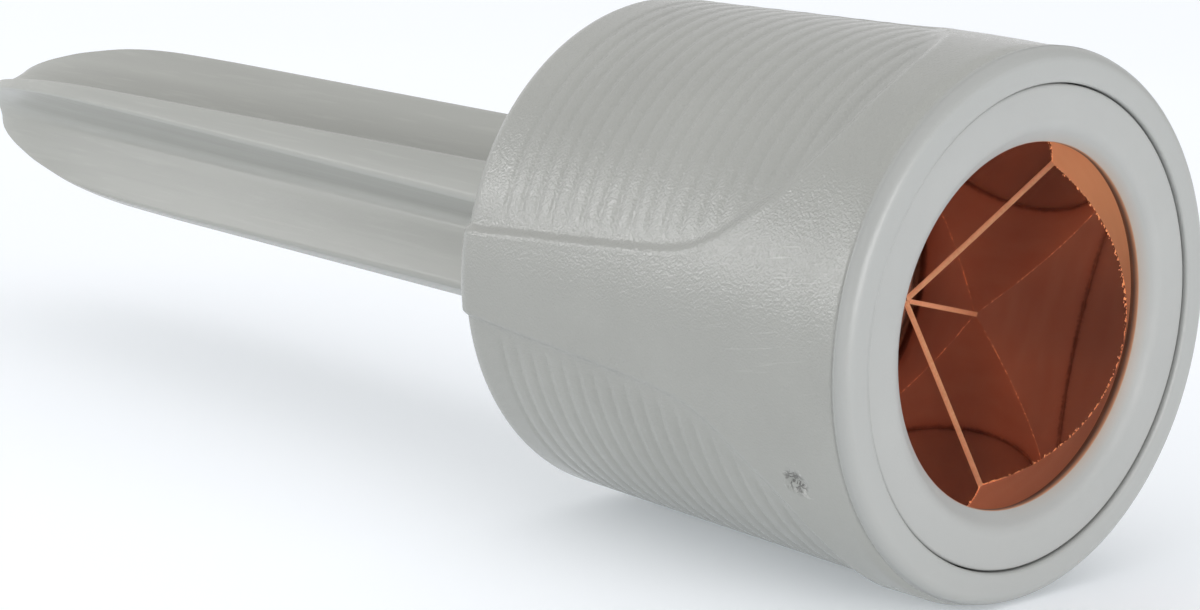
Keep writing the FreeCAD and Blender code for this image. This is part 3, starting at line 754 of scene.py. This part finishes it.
# ------------------------------------------------------------------ the stem
def fin_outline(y, w):
    """Points round the cross at height y whose fins reach w, as an (n, 2) array in mm."""
    h = (FIN_EDGE_T - FIN_EDGE_TAPER * y) / 2.0
    root = min((FIN_ROOT_T - FIN_ROOT_TAPER * y) / 2.0, 0.55 * w + 0.05)
    h = min(h, root)
    e = min(2.0 * FIN_ROUND * h, 0.45 * w)
    slope = (root - h) / (w - e - root)
    run = min(ROOT_FILLET, 0.4 * (w - e - root))
    low = root - slope * run
    flank = [(root + run + (w - e - root - run) * t, low + (h - low) * t) for t in np.linspace(0, 1, 8)]
    corner = np.radians(np.linspace(0, 90, 9))
    pts = [(x, -z) for x, z in flank]
    pts += [(w - e + e * math.cos(t), -h + e + e * math.sin(t)) for t in corner[1:] - math.pi / 2.0]
    # the fin's edge face is very slightly domed
    pts += [(w + 0.02 * (1 - t * t), t * (h - e)) for t in np.linspace(-1, 1, 5)[1:]]
    pts += [(w - e + e * math.cos(t), h - e + e * math.sin(t)) for t in corner[1:]]
    pts += flank[-2::-1]
    # rounded root, drawn as a quadratic curve tangent to both fins
    near, far = root + run, low
    for t in np.linspace(0, 1, 9)[1:-1]:
        u = 1 - t
        pts.append((u * u * near + 2 * u * t * root + t * t * far,
                    u * u * far + 2 * u * t * root + t * t * near))
    x, z = np.array(pts).T
    quarters = []
    for _ in range(4):
        quarters.append(np.column_stack([x, z]))
        x, z = -z, x
    return np.concatenate(quarters)


def fin_reach(d):
    """Reach of the fins from the axis, d mm from the tip."""
    nose = NOSE[-1][0]
    if d < nose:
        return float(smooth_curve(NOSE, np.array(d)))
    return FIN_NOSE_W + (FIN_W - FIN_NOSE_W) * (d - nose) / (STEM_LEN - nose)


def build_stem(mat):
    # distances from the tip of the nose's rows, closer together towards the tip
    near_tip = [30, 28, 26, 24, 22.5, 21, 19.5, 18, 16.5, 15, 13.5, 12, 10.8, 9.6, 8.4, 7.4, 6.5, 5.6,
                4.8, 4.1, 3.5, 2.9, 2.4, 2.0, 1.6, 1.3, 1.0, 0.75, 0.55, 0.36, 0.22, 0.12, 0.05]
    ys = [0.3, *np.linspace(1.0, 50.0, 26), *(STEM_LEN - np.array(near_tip))]
    seat = fin_outline(0.0, FIN_W)
    n = len(seat)
    # the cross is a little fuller where it leaves the hub
    rows = [np.column_stack([seat[:, 0] * 1.035, np.zeros(n), seat[:, 1] * 1.035])]
    for y in ys:
        d = STEM_LEN - y
        p = seat if y == ys[0] else fin_outline(y, fin_reach(d))
        if d < 1.0:
            # the end is rounded over
            p = p * (1.0 - 0.30 * (1.0 - d) ** 3)
        rows.append(np.column_stack([p[:, 0], np.full(n, y), p[:, 1]]))
    # the hub's points lie on the cross's own azimuths, so that the quads don't twist
    turn = np.arctan2(rows[0][:, 2], rows[0][:, 0])
    hub = [(FLANGE_R, -REAR_WALL - FLANGE_T), (FLANGE_R, -REAR_WALL - 0.02), (BOSS_R, -REAR_WALL),
           (BOSS_R, STEM_SEAL_FRONT), (STEM_SEAL_FLOOR, STEM_SEAL_FRONT),
           (STEM_SEAL_FLOOR, STEM_SEAL_BACK), (BOSS_R, STEM_SEAL_BACK), (BOSS_R, -0.12),
           (BOSS_R - 0.08, -0.02)]
    rows = [np.column_stack([r * np.cos(turn), np.full(n, y), r * np.sin(turn)]) for r, y in hub] + rows
    verts = np.concatenate(rows)
    c, s = math.cos(math.radians(FIN_ANGLE)), math.sin(math.radians(FIN_ANGLE))
    verts = np.column_stack([verts[:, 0] * c + verts[:, 2] * s, verts[:, 1],
                             verts[:, 2] * c - verts[:, 0] * s]) * MM
    tip = len(verts)
    faces = grid_faces(len(rows), n)
    faces += [(tip - n + j, tip - n + (j + 1) % n, tip) for j in range(n)]
    faces.append(list(range(n))[::-1])
    ob = mesh_object("plug_stem", [*verts, (0.0, STEM_LEN * MM, 0.0)], faces, [mat], sharp=50.0)
    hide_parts("stem")
    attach(ob, "root")


# ------------------------------------------------------------------ build
build_barrel(barrel_plastic())
build_bezel(bezel_plastic())
build_gasket(rubber("gasket_rubber", (0.085, 0.030, 0.013)))
build_prism(clear_glass(), copper_mirror(), copper_edge(), copper_wall())
build_coating(coat_back())
build_stem(stem_plastic())

# the hidden pieces keep their CAD shapes
black = rubber("seal_rubber", (0.012, 0.012, 0.012))
cad_mats = {"bezel_seal": black, "stem_seal": black,
            "facet_pads": rubber("pad_rubber", (0.03, 0.03, 0.03)), "prism_cup": black_plastic(),
            "wave_spring": steel("spring_steel", (2600.0, 2600.0, 260.0)),
            "stem_screws": steel("screw_steel", (1800.0, 400.0, 1800.0))}
for node, mat in cad_mats.items():
    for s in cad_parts[node].material_slots:
        s.material = mat

# ------------------------------------------------------------------ floor, light, world, camera
FLOOR_GAP = 0.02 * MM
bpy.ops.mesh.primitive_circle_add(vertices=96, radius=6.0, fill_type="NGON",
                                  location=(0, 0, cad_box[0][2] - FLOOR_GAP))
floor = bpy.context.object
floor.name = "studio_floor"
floor.data.materials.append(floor_white())

LIGHT_AIM = Vector((0.0, 0.02, 0.0))


def softbox(name, side, dist, width, height, watts):
    """Rectangular light of width by height metres, dist metres from the object on the given side."""
    light = bpy.data.lights.new(name, "AREA")
    light.shape = "RECTANGLE"
    light.size, light.size_y = width, height
    light.energy = watts
    ob = bpy.data.objects.new(name, light)
    away = Vector(side).normalized()
    ob.location = LIGHT_AIM + away * dist
    ob.rotation_euler = (-away).to_track_quat("-Z", "Y").to_euler()
    bpy.context.scene.collection.objects.link(ob)


softbox("key_rear_left", (-0.72, 0.66, 0.27), 0.9, 0.50, 0.12, 2.1)
softbox("front", (-0.02, -1.0, 0.02), 0.9, 0.7, 0.5, 9.2)
softbox("left_fill", (-0.88, -0.40, -0.08), 0.9, 0.5, 0.5, 1.5)
softbox("top", (0.1, 0.2, 1.0), 1.1, 1.2, 1.2, 0.5)

# a white room, darker on the side from which the camera looks and to the front right
world = bpy.data.worlds.new("studio")
bpy.context.scene.world = world
world.use_nodes = True
tree = world.node_tree
room = tree.nodes.new("ShaderNodeTexCoord").outputs["Generated"]


def darker_side(side, start, end, bright, dark):
    """Colour that falls from bright to dark as the room is seen closer to the given side."""
    dot = tree.nodes.new("ShaderNodeVectorMath")
    dot.operation = "DOT_PRODUCT"
    dot.inputs[1].default_value = side
    tree.links.new(room, dot.inputs[0])
    ramp = tree.nodes.new("ShaderNodeValToRGB")
    ramp.color_ramp.interpolation = "EASE"
    for e, position, color in zip(ramp.color_ramp.elements, (start, end), (bright, dark)):
        e.position = position
        e.color = (*color, 1.0)
    tree.links.new(dot.outputs["Value"], ramp.inputs["Fac"])
    return ramp.outputs["Color"]


both = tree.nodes.new("ShaderNodeMix")
both.data_type = "RGBA"
both.blend_type = "MULTIPLY"
both.inputs[0].default_value = 1.0
tree.links.new(darker_side((-0.677, -0.706, 0.209), 0.80, 0.93, (0.95, 0.95, 0.96),
                           (0.13, 0.13, 0.13)), both.inputs[6])
tree.links.new(darker_side((0.75, -0.66, 0.0), 0.35, 0.90, (1.0, 1.0, 1.0),
                           (0.20, 0.20, 0.20)), both.inputs[7])
tree.links.new(both.outputs[2], tree.nodes["Background"].inputs["Color"])
tree.nodes["Background"].inputs["Strength"].default_value = 1.0

cam_data = bpy.data.cameras.new("camera")
cam_data.sensor_width = 36.0
cam_data.lens = 96.0
cam_data.clip_start = 0.01
cam_data.clip_end = 50.0
cam = bpy.data.objects.new("camera", cam_data)
right = Vector((0.72633, -0.686614, 0.031712))
up = Vector((0.120804, 0.172939, 0.977496))
forward = Vector((0.676647, 0.706154, -0.208556))
pose = Matrix((right, up, -forward)).transposed().to_4x4()
pose.translation = Vector((-0.158237, -0.161071, 0.0433))
cam.matrix_world = pose
scene = bpy.context.scene
scene.collection.objects.link(cam)
scene.camera = cam

scene.view_settings.view_transform = "Standard"
scene.view_settings.look = "None"
scene.view_settings.exposure = 0.0
scene.view_settings.gamma = 1.0
